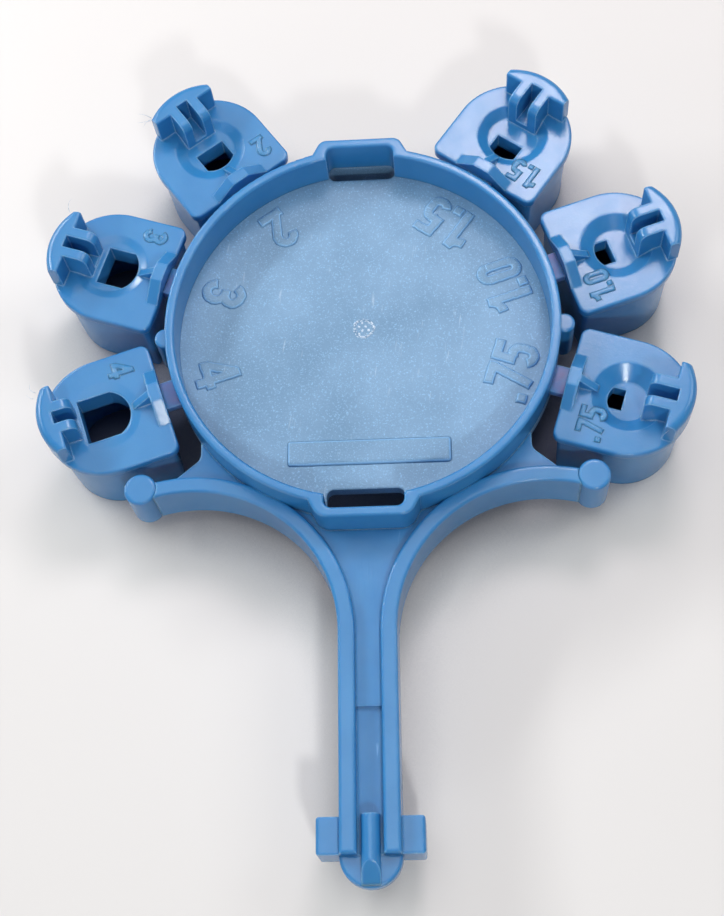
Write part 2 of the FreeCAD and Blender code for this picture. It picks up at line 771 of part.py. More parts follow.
def orifice_outline(body, own):
    """D-shaped outline: flat side outwards, round side towards the pan."""
    sketch = new_sketch(body, "orifice_sketch", level=S.face_top)
    flat, half, radius = own.flat.value, own.half_width.value, own.round.value
    start = -math.sqrt(radius**2 - half**2)
    up = FreeCAD.Vector(0, 0, 1)
    ring = Part.Circle(FreeCAD.Vector(0, 0, 0), up, radius)
    turn = math.atan2(half, start)
    points = [(start, half), (flat, half), (flat, -half), (start, -half)]
    points = [FreeCAD.Vector(x, y, 0) for x, y in points]
    loop = [Part.LineSegment(points[i], points[i + 1]) for i in range(3)]
    loop.append(Part.ArcOfCircle(ring, turn, 2 * math.pi - turn))
    sketch.addGeometry(loop, False)
    links = [(0, 2, 1, 1), (1, 2, 2, 1), (2, 2, 3, 2), (3, 1, 0, 1)]
    for link in links:
        sketch.addConstraint(Sketcher.Constraint("Coincident", *link))
    sketch.addConstraint(Sketcher.Constraint("Horizontal", 0))
    sketch.addConstraint(Sketcher.Constraint("Vertical", 1))
    sketch.addConstraint(Sketcher.Constraint("Horizontal", 2))
    sketch.addConstraint(Sketcher.Constraint("Coincident", 3, 3, -1, 1))
    dimension(sketch, "radius", own.round, "Radius", 3)
    dimension(sketch, "top", own.half_width, "DistanceY", -1, 1, 0, 2)
    dimension(sketch, "bottom", -own.half_width, "DistanceY", -1, 1, 2, 1)
    dimension(sketch, "flat", own.flat, "DistanceX", -1, 1, 0, 2)
    return sketch


def tab_outline(body):
    """Pull tab from above: straight inside, round outside, cut square at both ends."""
    sketch = new_sketch(body, "tab_sketch", level=S.face_top)
    inner, half = S.tab_inner.value, S.tab_half_width.value
    radius = S.face_half_width.value + S.tab_overhang.value
    start = math.sqrt(radius**2 - half**2)
    turn = math.asin(half / radius)
    ring = Part.Circle(FreeCAD.Vector(0, 0, 0), FreeCAD.Vector(0, 0, 1), radius)
    points = [(start, half), (inner, half), (inner, -half), (start, -half)]
    points = [FreeCAD.Vector(x, y, 0) for x, y in points]
    loop = [Part.LineSegment(points[i], points[i + 1]) for i in range(3)]
    loop.append(Part.ArcOfCircle(ring, -turn, turn))
    sketch.addGeometry(loop, False)
    for link in [(0, 2, 1, 1), (1, 2, 2, 1), (2, 2, 3, 1), (3, 2, 0, 1)]:
        sketch.addConstraint(Sketcher.Constraint("Coincident", *link))
    sketch.addConstraint(Sketcher.Constraint("Horizontal", 0))
    sketch.addConstraint(Sketcher.Constraint("Vertical", 1))
    sketch.addConstraint(Sketcher.Constraint("Horizontal", 2))
    sketch.addConstraint(Sketcher.Constraint("Coincident", 3, 3, -1, 1))
    dimension(sketch, "radius", S.face_half_width + S.tab_overhang, "Radius", 3)
    dimension(sketch, "top", S.tab_half_width, "DistanceY", -1, 1, 0, 2)
    dimension(sketch, "bottom", -S.tab_half_width, "DistanceY", -1, 1, 2, 1)
    dimension(sketch, "inner", S.tab_inner, "DistanceX", -1, 1, 0, 2)
    return sketch


def add_tab(body, own):
    """Pull tab at the nozzle's outer end, and the two ribs that brace it from inside."""
    tab_top = S.face_top + S.tab_height
    tab = pad(body, "tab", tab_outline(body), S.tab_height)
    outer = S.face_half_width + S.tab_overhang
    bulged = round_edges(
        body,
        "tab_outer_round",
        tab,
        S.tab_outer_round,
        lambda point: near(point.z, tab_top) and near(math.hypot(point.x, point.y), outer),
    )
    round_edges(
        body,
        "tab_inner_round",
        bulged,
        S.face_edge_round,
        lambda point: near(point.z, tab_top) and near(point.x, S.tab_inner),
    )
    start = larger(S.tab_rib_start, own.flat + S.tab_rib_clearance)
    end = S.tab_inner + S.tab_slot_bite
    low = (start, S.face_top - own.recess)
    ribs_sketch = rectangle(body, "ribs_sketch", low, (end, tab_top), role="XZ_Plane")
    ribs = pad(body, "ribs", ribs_sketch, S.tab_rib_half_width * 2, symmetric=True)
    round_edges(
        body,
        "ribs_round",
        ribs,
        S.tab_rib_round,
        lambda point: near(point.x, start) and near(point.z, tab_top),
    )
    half_slot = S.tab_slot_width / 2
    low = (ZERO, -half_slot)
    slot_sketch = rectangle(body, "slot_sketch", low, (end, half_slot), level=tab_top)
    pocket(body, "slot", slot_sketch, S.tab_height)


def add_seat_rib(body):
    """Rib along the flat side with sloped ends, and the fin that braces it."""
    side = -S.face_inner_reach
    corners = [
        (-S.seat_half_length, S.face_top),
        (S.seat_half_length, S.face_top),
        (S.seat_crest_half_length, S.face_top + S.seat_height),
        (-S.seat_crest_half_length, S.face_top + S.seat_height),
    ]
    profile = polygon(body, "seat_sketch", corners, role="YZ_Plane", level=side)
    pad(body, "seat", profile, S.seat_width)
    inner = side + S.seat_width
    corners = [
        (side + S.seat_width / 2, S.face_top),
        (inner + S.fin_length, S.face_top),
        (inner, S.face_top + S.seat_height),
        (side + S.seat_width / 2, S.face_top + S.seat_height),
    ]
    fin = polygon(body, "fin_sketch", corners, role="XZ_Plane")
    pad(body, "fin", fin, S.fin_thickness, symmetric=True)


def nozzle_body(nozzle):
    """One break-off nozzle: a face plate with a D-shaped orifice on a hollow plug."""
    own = SimpleNamespace(
        **{name: getattr(S, f"orifice_{nozzle}_{name}") for name in NOZZLE_SIZES[nozzle]}
    )
    body = new_body(f"nozzle_{nozzle}")
    lip_foot = S.face_top - S.lip_thickness
    outline = nozzle_outline(body, "lip_sketch", ZERO, S.face_corner, lip_foot)
    lip = pad(body, "lip", outline, S.lip_thickness)
    round_edges(body, "lip_round", lip, S.face_edge_round, at_level(S.face_top))
    outline = nozzle_outline(body, "plug_sketch", S.plug_inset, S.face_corner_inner, lip_foot)
    plug = pad(body, "plug", outline, S.plug_depth - S.lip_thickness, downwards=True)
    bind(plug, "TaperAngle", -S.plug_draft_angle)
    DOC.recompute()
    foot = S.face_top - S.plug_depth
    inset = S.plug_inset + S.plug_wall
    hollow = nozzle_outline(body, "hollow_sketch", inset, S.hollow_corner, foot)
    pocket(body, "hollow", hollow, S.plug_depth - S.front_thickness, upwards=True)
    pocket(body, "orifice", orifice_outline(body, own), S.plug_depth)
    recess = body.newObject("PartDesign::SubtractiveCone", f"{body.Label}_recess")
    bind(recess, "Radius1", own.round + S.recess_margin)
    bind(recess, "Radius2", S.recess_radius)
    bind(recess, "Height", own.recess)
    bind(recess, "AttachmentOffset.Base.z", S.face_top - own.recess)
    recess.AttachmentSupport = [(plane(body, "XY_Plane"), "")]
    recess.MapMode = "FlatFace"
    DOC.recompute()
    add_seat_rib(body)
    add_tab(body, own)
    stand_in_fan(body, nozzle)
    return body


def gate(nozzle):
    """Break-off gate that bridges the pan's side and the nozzle's flat side."""
    body = new_body(f"gate_{nozzle}")
    half = S.gate_width / 2
    low = (S.pan_bore - S.nozzle_axis_radius, -half)
    high = (-S.face_inner_reach, half)
    top = S.face_top - S.gate_drop
    bridge = rectangle(body, "sketch", low, high, level=top)
    pad(body, "bridge", bridge, S.gate_thickness, downwards=True)
    level = top - S.gate_thickness
    pan = circle(body, "pan_sketch", -S.nozzle_axis_radius, 0, S.pan_radius, level)
    pocket(body, "pan_side", pan, S.gate_thickness, upwards=True)
    stand_in_fan(body, nozzle)
    return body


# ---- build, check and write ----


def build():
    pieces = [pan_floor(), pan_rim(), stem_web(), key_tip(), key_spine()]
    for side, turn in (("left", -1), ("right", 1)):
        pieces.append(rim_peg(side, turn))
        pieces.append(handle_rib(side, turn))
        pieces.append(horn_knob(side, turn))
        pieces.append(gusset(side, turn))
        pieces.append(key_lug(side, turn))
    for nozzle in NOZZLE_PLACES:
        pieces.append(nozzle_body(nozzle))
        pieces.append(gate(nozzle))
    DOC.recompute()
    return pieces


def check(pieces):
    for item in DOC.Objects:
        if "Invalid" in item.State or "Error" in item.State:
            raise RuntimeError(f"{item.Label} is {item.State}")
    for piece in pieces:
        shape = piece.Shape
        if shape.isNull() or not shape.isValid() or len(shape.Solids) != 1:
            raise RuntimeError(f"{piece.Label} isn't one valid solid")


def main():
    pieces = build()
    check(pieces)
    os.makedirs("parts", exist_ok=True)
    for piece in pieces:
        piece.Shape.exportStep(f"parts/{piece.Label}.step")


main()
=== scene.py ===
"""Looks of a sprinkler nozzle rack: finishes for its moulded parts, raised numerals, mould marks,
and a plain stage with soft light. It runs inside Blender, and its lengths are metres unless a
name ends in _MM.
"""

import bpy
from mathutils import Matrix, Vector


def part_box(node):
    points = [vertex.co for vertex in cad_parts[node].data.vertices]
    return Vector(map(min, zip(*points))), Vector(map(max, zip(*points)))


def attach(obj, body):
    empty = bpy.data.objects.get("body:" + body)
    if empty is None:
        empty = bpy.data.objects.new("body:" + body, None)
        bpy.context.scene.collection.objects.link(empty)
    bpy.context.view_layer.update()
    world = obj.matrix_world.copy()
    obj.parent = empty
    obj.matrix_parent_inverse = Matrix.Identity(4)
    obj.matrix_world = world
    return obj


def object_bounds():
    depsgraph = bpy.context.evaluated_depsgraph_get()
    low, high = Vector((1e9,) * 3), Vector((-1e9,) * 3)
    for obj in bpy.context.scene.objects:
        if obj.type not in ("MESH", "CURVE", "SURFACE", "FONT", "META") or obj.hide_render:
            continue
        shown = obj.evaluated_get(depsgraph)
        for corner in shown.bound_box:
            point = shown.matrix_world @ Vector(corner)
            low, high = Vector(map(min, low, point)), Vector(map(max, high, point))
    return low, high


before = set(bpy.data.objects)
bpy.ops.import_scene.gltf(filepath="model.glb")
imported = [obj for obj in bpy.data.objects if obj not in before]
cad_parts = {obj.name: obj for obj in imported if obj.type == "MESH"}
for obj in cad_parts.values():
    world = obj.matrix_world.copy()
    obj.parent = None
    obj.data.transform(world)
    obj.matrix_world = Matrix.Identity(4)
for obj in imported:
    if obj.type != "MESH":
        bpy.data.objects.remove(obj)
CAD_BOX = [list(corner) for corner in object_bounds()]

import math

import bpy
import numpy as np
from bpy.props import FloatProperty, FloatVectorProperty, PointerProperty

bl_info = {
    "name": "Nozzle Rack Looks",
    "version": (1, 0, 0),
    "blender": (4, 5, 0),
    "location": "View3D > Sidebar > Nozzle Rack",
    "description": "Finishes, raised numerals, mould marks and stage of a sprinkler nozzle rack",
    "category": "Object",
}

MM = 0.001

# The fan of nozzles: each one's node name, its numeral and its steps up from the lowest.
NOZZLES = {
    "nozzle_4": ("4", "left", 0),
    "nozzle_3": ("3", "left", 1),
    "nozzle_2": ("2", "left", 2),
    "nozzle_1_5": ("1.5", "right", 2),
    "nozzle_1_0": ("1.0", "right", 1),
    "nozzle_0_75": (".75", "right", 0),
}
FAN_FIRST_ANGLE = math.radians(-18)
FAN_STEP_ANGLE = math.radians(36)
FLAT_SIDE_RADIUS_MM = 22.5
AXIS_RADIUS_MM = 29.0
TAB_HEIGHT_MM = 3.4

FLOOR_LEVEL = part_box("pan_floor")[1][2]
FACE_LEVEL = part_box("nozzle_4")[1][2] - TAB_HEIGHT_MM * MM

# Nodes by finish. Every other node has the polished finish.
NODE_FINISHES = {
    "pan_floor": "spark_blue",
    "stem_web": "satin_blue",
    "left_gusset": "satin_blue",
    "right_gusset": "satin_blue",
    "gate_4": "thin_lilac",
    "gate_3": "thin_lilac",
    "gate_2": "thin_lilac",
    "gate_1_5": "thin_lilac",
    "gate_1_0": "thin_lilac",
    "gate_0_75": "thin_lilac",
}

# How far the flat underside of a raised mark lies inside the plastic.
MARK_SINK = 0.00002


# ---- settings ----


def colour_setting(name, description, default):
    return FloatVectorProperty(
        name=name, description=description, subtype="COLOR", size=3, min=0, max=1, default=default
    )


def length_setting(name, description, default):
    return FloatProperty(
        name=name, description=description, subtype="DISTANCE", unit="LENGTH", default=default
    )


def share_setting(name, description, default):
    return FloatProperty(
        name=name, description=description, subtype="FACTOR", min=0, max=1, default=default
    )


def power_setting(name, description, default):
    return FloatProperty(name=name, description=description, unit="POWER", min=0, default=default)


class RackFinishSettings(bpy.types.PropertyGroup):
    plastic_colour: colour_setting("Plastic", "Colour of the blue plastic", (0.026, 0.195, 0.455))
    cloud_colour: colour_setting("Clouds", "Colour of the flow's paler clouds", (0.036, 0.22, 0.49))
    floor_colour: colour_setting("Pan floor", "Colour of the textured floor", (0.116, 0.247, 0.402))
    # The scuff colour also paints the highlights on edges and sloped faces, and the floor's glints.
    scuff_and_highlight_colour: colour_setting("Scuffs", "Colour of scuffs and worn edges", (0.28, 0.56, 0.88))
    gate_colour: colour_setting("Gates", "Colour of the thin strained gates", (0.13, 0.16, 0.38))
    edge_radius: length_setting("Edge radius", "How far the sharp edges look rounded", 0.0004)
    polished_roughness: share_setting("Polish", "Roughness of the polished faces", 0.21)
    satin_roughness: share_setting("Satin", "Roughness of the web and gussets", 0.38)
    textured_roughness: share_setting("Texture", "Roughness of the spark-textured floor", 0.42)


class RackMarkSettings(bpy.types.PropertyGroup):
    pan_numeral_height: length_setting("Pan numerals", "Height of the pan's numerals", 0.0049)
    pan_numeral_relief: length_setting("Pan relief", "How far they stand out", 0.00025)
    face_numeral_height: length_setting("Face numerals", "Height of the nozzles' numerals", 0.0028)
    face_numeral_relief: length_setting("Face relief", "How far they stand out", 0.00015)
    plate_relief: length_setting("Plate relief", "How far the bare plate stands out", 0.00026)
    gate_scar_relief: length_setting("Scar relief", "Height of the gate scar's ring", 0.00012)
    hair_thickness: length_setting("Flash hairs", "Thickness of the hairs of flash", 0.00005)


class RackStageSettings(bpy.types.PropertyGroup):
    table_colour: colour_setting("Table", "Colour of the plain table", (0.69, 0.68, 0.665))
    softbox_power: power_setting("Softbox", "Power of the soft lamp overhead", 0.345)
    key_power: power_setting("Key", "Power of the lamp on the right that casts the shadows", 0.27)
    glint_power: power_setting("Glint", "Power of the lilac lamp in the right nozzles' gloss", 0.45)
    strip_power: power_setting("Strips", "Power of the small lamps low round the rack", 0.115)
    sky_strength: FloatProperty(
        name="Sky", description="Strength of the even light from all round", min=0, default=0.2
    )


# ---- mesh helpers ----


def new_piece(name, points, faces):
    """A smooth object of the given points and faces, at the origin."""
    mesh = bpy.data.meshes.new(name)
    mesh.from_pydata(points.tolist(), [], [list(face) for face in faces])
    mesh.update()
    mesh.shade_smooth()
    piece = bpy.data.objects.new(name, mesh)
    bpy.context.scene.collection.objects.link(piece)
    return piece


def smooth_step(share):
    """Zero below 0, one above 1, and 3s² - 2s³ between."""
    share = np.clip(share, 0, 1)
    return share * share * (3 - 2 * share)


def grid(low, high, spacing):
    """The points of a rectangle at an even spacing, as two arrays: across and up."""
    counts = np.ceil((np.array(high) - low) / spacing).astype(int) + 1
    return np.meshgrid(*(np.linspace(*ends) for ends in zip(low, high, counts)))


def raised_mark(name, across, up, rise, relief, place):
    """A closed mark on a grid. Its top stands over the level by relief times rise, which runs
    from 0 to 1, and its flat underside lies just inside the plastic. Cells without any rise are
    left out, and the two sheets share the points round them. place gives the mark's origin, and
    the directions across and up."""
    kept = (rise > 0).ravel()
    count = kept.size
    index = np.arange(count).reshape(rise.shape)
    corners = [index[:-1, :-1], index[:-1, 1:], index[1:, 1:], index[1:, :-1]]
    cells = np.column_stack([corner.ravel() for corner in corners])
    top = cells[kept[cells].any(axis=1)]
    under = np.where(kept[top], top + count, top)[:, ::-1]
    used, faces = np.unique(np.vstack([top, under]), return_inverse=True)
    origin, along, upwards = (np.array(part, float) for part in place)
    flat = origin + across.ravel()[:, None] * along + up.ravel()[:, None] * upwards
    top_points = flat + [0, 0, 1] * ((relief + MARK_SINK) * rise.ravel() - MARK_SINK)[:, None]
    under_points = flat - [0, 0, MARK_SINK]
    return new_piece(name, np.vstack([top_points, under_points])[used], faces.reshape(-1, 4))


# ---- numerals ----

# A numeral is one unit high. Its strokes are flat-ended bars of one width, given by their middle
# lines from the character's lower left corner.
STROKE_HALF = 0.1
CHARACTER_GAP = 0.055
GRID_STEPS = 90
OUTLINE_WAVER = 0.006


def ellipse_arc(centre, radii, start, stop, count=12):
    """Points at equal steps of angle along an ellipse, in degrees from start to stop."""
    angle = np.radians(np.linspace(start, stop, count))
    return np.column_stack(
        [centre[0] + radii[0] * np.cos(angle), centre[1] + radii[1] * np.sin(angle)]
    )


def nought():
    top = ellipse_arc((0.25, 0.76), (0.15, 0.14), 0, 180)
    foot = ellipse_arc((0.25, 0.24), (0.15, 0.14), 180, 360)
    return 0.5, [np.vstack([top, foot, top[:1]])]


def one():
    flag = ellipse_arc((0.0, 1.02), (0.3, 0.27), -90, -8)
    return 0.4, [flag, [(0.3, 0), (0.3, 1)]]


def two():
    head = ellipse_arc((0.28, 0.71), (0.18, 0.19), 178, -25)
    return 0.56, [np.vstack([head, [(0.13, 0.1)]]), [(0, 0.1), (0.56, 0.1)]]


def three():
    upper = ellipse_arc((0.3, 0.715), (0.2, 0.185), 172, -90)
    lower = ellipse_arc((0.3, 0.315), (0.2, 0.215), 90, -172)
    return 0.6, [upper, lower, [(0.2, 0.53), (0.3, 0.53)]]


def four():
    upright = [(0.47, 0), (0.47, 1)]
    bar = [(0, 0.29), (0.66, 0.29)]
    return 0.66, [upright, bar, [(0.44, 0.91), (0.09, 0.32)]]


def five():
    shoulder = [(0.5, 0.9), (0.12, 0.9), (0.1, 0.48)]
    bowl = [
        ellipse_arc((0.26, 0.42), (0.16, 0.15), 140, 0),
        ellipse_arc((0.26, 0.25), (0.16, 0.15), 0, -165),
    ]
    return 0.52, [shoulder, np.vstack(bowl)]


def seven():
    return 0.52, [[(0, 0.9), (0.52, 0.9)], [(0.415, 0.86), (0.2, 0)]]


def point():
    return 0.21, [[(0.105, 0), (0.105, 0.2)]]


CHARACTERS = {
    "0": nought,
    "1": one,
    "2": two,
    "3": three,
    "4": four,
    "5": five,
    "7": seven,
    ".": point,
}


def bars_of(path):
    """A path's straight bars, as their starts and ends. At a bend each bar is longer by half its
    width times the tangent of half the turn, which closes the corner."""
    path = np.asarray(path, float)
    run = np.diff(path, axis=0)
    run /= np.linalg.norm(run, axis=1)[:, None]
    turn = np.arccos(np.clip((run[:-1] * run[1:]).sum(axis=1), -1, 1))
    reach = STROKE_HALF * np.minimum(np.tan(turn / 2), 1)
    before = np.concatenate([[0], reach])
    after = np.concatenate([reach, [0]])
    return path[:-1] - run * before[:, None], path[1:] + run * after[:, None]


def outline_distance(points, paths):
    """How far each point lies outside the strokes' outline, and below zero inside it: the least
    of its distances from the bars, each measured as from a rectangle."""
    starts, ends = (np.vstack(part) for part in zip(*(bars_of(path) for path in paths)))
    along = ends - starts
    length = np.linalg.norm(along, axis=1)
    along /= length[:, None]
    across = np.column_stack([-along[:, 1], along[:, 0]])
    offset = points[:, None, :] - (starts + ends) / 2
    beyond = np.abs((offset * along).sum(axis=2)) - length / 2
    beside = np.abs((offset * across).sum(axis=2)) - STROKE_HALF
    outside = np.hypot(np.maximum(beyond, 0), np.maximum(beside, 0))
    return (outside + np.minimum(np.maximum(beyond, beside), 0)).min(axis=1)


def numeral(name, text, height, relief, edge, place):
    """A raised numeral, centred across on its foot line. Its rise is a smooth step of the distance
    inward from the strokes' outline, over the edge's width, on an outline that wavers a little."""
    pen, paths = 0.0, []
    for character in text:
        width, strokes = CHARACTERS[character]()
        paths.extend(np.asarray(stroke) + [pen, 0] for stroke in strokes)
        pen += width + CHARACTER_GAP
    width = pen - CHARACTER_GAP
    margin = edge / height
    across, up = grid((-margin, -margin), (width + margin, 1 + margin), 1 / GRID_STEPS)
    away = outline_distance(np.column_stack([across.ravel(), up.ravel()]), paths)
    waver = OUTLINE_WAVER * np.sin(23 * across + 9 * up) * np.sin(19 * up - 7 * across)
    rise = smooth_step(0.5 - (away.reshape(across.shape) + waver) * height / edge)
    return raised_mark(name, (across - width / 2) * height, up * height, rise, relief, place)


def nozzle_angle(node):
    _, side, step = NOZZLES[node]
    right = FAN_FIRST_ANGLE + FAN_STEP_ANGLE * step
    return right if side == "right" else math.pi - right


def directions(angle):
    """The level directions outwards and anticlockwise at an angle round the pan."""
    outwards = np.array([math.cos(angle), math.sin(angle), 0])
    tangent = np.array([-math.sin(angle), math.cos(angle), 0])
    return outwards, tangent


def facing_centre(angle, foot_radius, sideways, level):
    """The place of a mark that stands with its head towards the pan's centre: its foot line is
    tangent to a circle at the given angle, and sideways moves it anticlockwise."""
    outwards, tangent = directions(angle)
    return outwards * foot_radius + tangent * sideways + [0, 0, level], tangent, -outwards


def on_floor(centre_mm):
    """The place of an unturned mark on the pan's floor."""
    return (centre_mm[0] * MM, centre_mm[1] * MM, FLOOR_LEVEL), (1, 0, 0), (0, 1, 0)


# ---- materials ----

PLASTIC_IOR = 1.56
GLOSS_TINT = (1.0, 1.0, 0.92)
THIN_GLOSS_TINT = (0.92, 0.9, 1.0)
PLAIN_GLOSS_TINT = (1.0, 1.0, 1.0)

# How much light travels inside the plastic, and how far its red, green and blue parts go.
INNER_LIGHT_WEIGHT = 0.35
INNER_LIGHT_RADIUS = (0.2, 0.6, 1.0)
INNER_LIGHT_SCALE = 0.0012

# An edge shows where the face's normal and one rounded over this share of the edge radius differ:
# fully at the first cosine between them, and not at all at the second.
EDGE_RADIUS_SHARE = 0.8
EDGE_COSINES = (0.82, 0.965)
BEVEL_SAMPLES = 6

# The painted highlight on a slope shows fully between the inner two of these upward parts of
# its normal, and not at all outside the outer two.
SLOPE_HIGHLIGHT_RISES = (0.1, 0.4, 0.78, 0.96)

# How deep each finish's finest relief is.
GRAIN_DEPTH = 0.000012
DRAG_DEPTH = 0.000015
PIT_DEPTH = 0.00005
WAVE_DEPTH = 0.00003

# The colour of the floor's scratches, and of its specks, which are painted glints.
SCRATCH_AND_GLINT_COLOUR = (0.72, 0.82, 0.92)
FLECK_COLOUR = (0.6, 0.7, 0.82)

# The colour sockets of a Mix node, which share their names with its other sockets.
MIX_COLOURS = (6, 7)
MIX_RESULT = 2


def node_of(tree, kind, **values):
    """A new node of the tree with its properties, or its inputs by name, set."""
    node = tree.nodes.new(kind)
    for name, value in values.items():
        if hasattr(node, name):
            setattr(node, name, value)
        else:
            node.inputs[name.replace("_", " ")].default_value = value
    return node


def stretched(tree, coordinates, scale, turn=0.0):
    """Object coordinates turned about the upright axis by degrees, then scaled along each."""
    turned = tree.nodes.new("ShaderNodeMapping")
    turned.inputs["Rotation"].default_value = (0, 0, math.radians(turn))
    tree.links.new(coordinates, turned.inputs["Vector"])
    scaled = tree.nodes.new("ShaderNodeMapping")
    scaled.inputs["Scale"].default_value = scale
    tree.links.new(turned.outputs["Vector"], scaled.inputs["Vector"])
    return scaled.outputs["Vector"]


def noise(tree, coordinates, scale, detail=2.0, roughness=0.5):
    node = node_of(tree, "ShaderNodeTexNoise", Scale=scale, Detail=detail, Roughness=roughness)
    tree.links.new(coordinates, node.inputs["Vector"])
    return node.outputs["Fac"]


def ranged(tree, value, low, high, to_low=0.0, to_high=1.0):
    """A value moved from one range, low to high, to another, and held inside it."""
    node = tree.nodes.new("ShaderNodeMapRange")
    for socket, number in (
        ("From Min", low),
        ("From Max", high),
        ("To Min", to_low),
        ("To Max", to_high),
    ):
        node.inputs[socket].default_value = number
    tree.links.new(value, node.inputs["Value"])
    return node.outputs["Result"]


def reckoned(tree, operation, first, second):
    """A sum, product or comparison of links or numbers."""
    node = node_of(tree, "ShaderNodeMath", operation=operation)
    for socket, value in zip(node.inputs, (first, second)):
        if isinstance(value, bpy.types.NodeSocket):
            tree.links.new(value, socket)
        else:
            socket.default_value = value
    return node.outputs[0]


def mixed(tree, share, first, second):
    """Two colours, or links to them, mixed by a share."""
    node = node_of(tree, "ShaderNodeMix", data_type="RGBA")
    for index, colour in zip(MIX_COLOURS, (first, second)):
        socket = node.inputs[index]
        if isinstance(colour, bpy.types.NodeSocket):
            tree.links.new(colour, socket)
        else:
            socket.default_value = (*colour, 1.0)
    tree.links.new(share, node.inputs[0])
    return node.outputs[MIX_RESULT]


def bumped(tree, height, depth, normal):
    node = node_of(tree, "ShaderNodeBump", Strength=1.0, Distance=depth)
    tree.links.new(height, node.inputs["Height"])
    tree.links.new(normal, node.inputs["Normal"])
    return node.outputs["Normal"]


def rounded_normal(tree, radius):
    node = node_of(tree, "ShaderNodeBevel", samples=BEVEL_SAMPLES, Radius=radius)
    return node.outputs["Normal"]


def edges(tree, radius):
    """The normal rounded over sharp edges, and a share that is 1 on an edge and 0 on a face."""
    face = tree.nodes.new("ShaderNodeNewGeometry").outputs["Normal"]
    cosine = node_of(tree, "ShaderNodeVectorMath", operation="DOT_PRODUCT")
    tree.links.new(rounded_normal(tree, radius * EDGE_RADIUS_SHARE), cosine.inputs[0])
    tree.links.new(face, cosine.inputs[1])
    share = ranged(tree, cosine.outputs["Value"], *EDGE_COSINES, 1.0, 0.0)
    return rounded_normal(tree, radius), share


def slope_highlight_share(tree):
    """The share of a painted highlight on sloped faces: 1 where they are steep, and 0 on level and
    on upright faces.
    """
    face = tree.nodes.new("ShaderNodeNewGeometry").outputs["Normal"]
    parts = tree.nodes.new("ShaderNodeSeparateXYZ")
    tree.links.new(face, parts.inputs["Vector"])
    upright, steep, shallow, level = SLOPE_HIGHLIGHT_RISES
    tilted = ranged(tree, parts.outputs["Z"], level, shallow)
    rising = ranged(tree, parts.outputs["Z"], upright, steep)
    return reckoned(tree, "MULTIPLY", tilted, rising)


def specks(tree, coordinates, scale, radius, share):
    """Round specks: the middles of some of a scatter of cells, picked by the cells' own colour."""
    cells = node_of(tree, "ShaderNodeTexVoronoi", Scale=scale)
    tree.links.new(coordinates, cells.inputs["Vector"])
    speck_glints = ranged(tree, cells.outputs["Distance"], radius * 0.6, radius, 1.0, 0.0)
    picked = reckoned(tree, "LESS_THAN", cells.outputs["Color"], share)
    return reckoned(tree, "MULTIPLY", speck_glints, picked)


def scratches(tree, coordinates, scale, turn):
    """Fine straight scratches: a noise drawn out along one line, kept where a second noise lets
    it show."""
    lines = noise(tree, stretched(tree, coordinates, (1.0, 0.09, 1.0), turn), scale, detail=1)
    patches = noise(tree, coordinates, scale=300)
    shown = ranged(tree, patches, 0.54, 0.66)
    return reckoned(tree, "MULTIPLY", ranged(tree, lines, 0.66, 0.74), shown)


def plastic(name, tint=GLOSS_TINT):
    """A new material, with its tree, its shader and the object's own coordinates."""
    material = bpy.data.materials.new(name)
    material.use_nodes = True
    tree = material.node_tree
    shader = tree.nodes["Principled BSDF"]
    shader.inputs["IOR"].default_value = PLASTIC_IOR
    shader.inputs["Specular Tint"].default_value = (*tint, 1.0)
    coordinates = tree.nodes.new("ShaderNodeTexCoord").outputs["Object"]
    return material, tree, shader, coordinates


def clouded(tree, coordinates, colour, cloud_colour, scale):
    share = ranged(tree, noise(tree, coordinates, scale, detail=3), 0.36, 0.64)
    return mixed(tree, share, colour, cloud_colour)


def worn_and_highlit(tree, coordinates, colour, settings):
    """The colour with pale edges, partly wear and partly a painted highlight, stronger in some
    patches than others, and the normal rounded over the edges.
    """
    # Pale edges: partly wear, partly a painted highlight along the rounded edges.
    rounded, edge = edges(tree, settings.edge_radius)
    wear = ranged(tree, noise(tree, coordinates, scale=1500, detail=3), 0.35, 0.7, 0.4, 0.8)
    share = reckoned(tree, "MULTIPLY", edge, wear)
    return mixed(tree, share, colour, settings.scuff_and_highlight_colour), rounded


def let_light_in(shader):
    shader.inputs["Subsurface Weight"].default_value = INNER_LIGHT_WEIGHT
    shader.inputs["Subsurface Radius"].default_value = INNER_LIGHT_RADIUS
    shader.inputs["Subsurface Scale"].default_value = INNER_LIGHT_SCALE


def surfaced(tree, shader, colour, roughness, normal=None):
    tree.links.new(colour, shader.inputs["Base Color"])
    tree.links.new(roughness, shader.inputs["Roughness"])
    if normal is not None:
        tree.links.new(normal, shader.inputs["Normal"])


def polished_plastic(settings):
    """Glossy mould face: soft clouds, patches of haze, fine grain, and pale edges that are partly
    wear and partly a painted highlight.
    """
    material, tree, shader, coordinates = plastic("polished_blue")
    blue, cloud = settings.plastic_colour, settings.cloud_colour
    colour = clouded(tree, coordinates, blue, cloud, scale=170)
    # Pale edges, partly wear and partly a painted highlight.
    colour, rounded = worn_and_highlit(tree, coordinates, colour, settings)
    rough = settings.polished_roughness
    haze = noise(tree, coordinates, scale=480, detail=4)
    roughness = ranged(tree, haze, 0.3, 0.7, rough - 0.03, rough + 0.04)
    grain = noise(tree, coordinates, scale=3400, detail=3, roughness=0.65)
    surfaced(tree, shader, colour, roughness, bumped(tree, grain, GRAIN_DEPTH, rounded))
    let_light_in(shader)
    return material


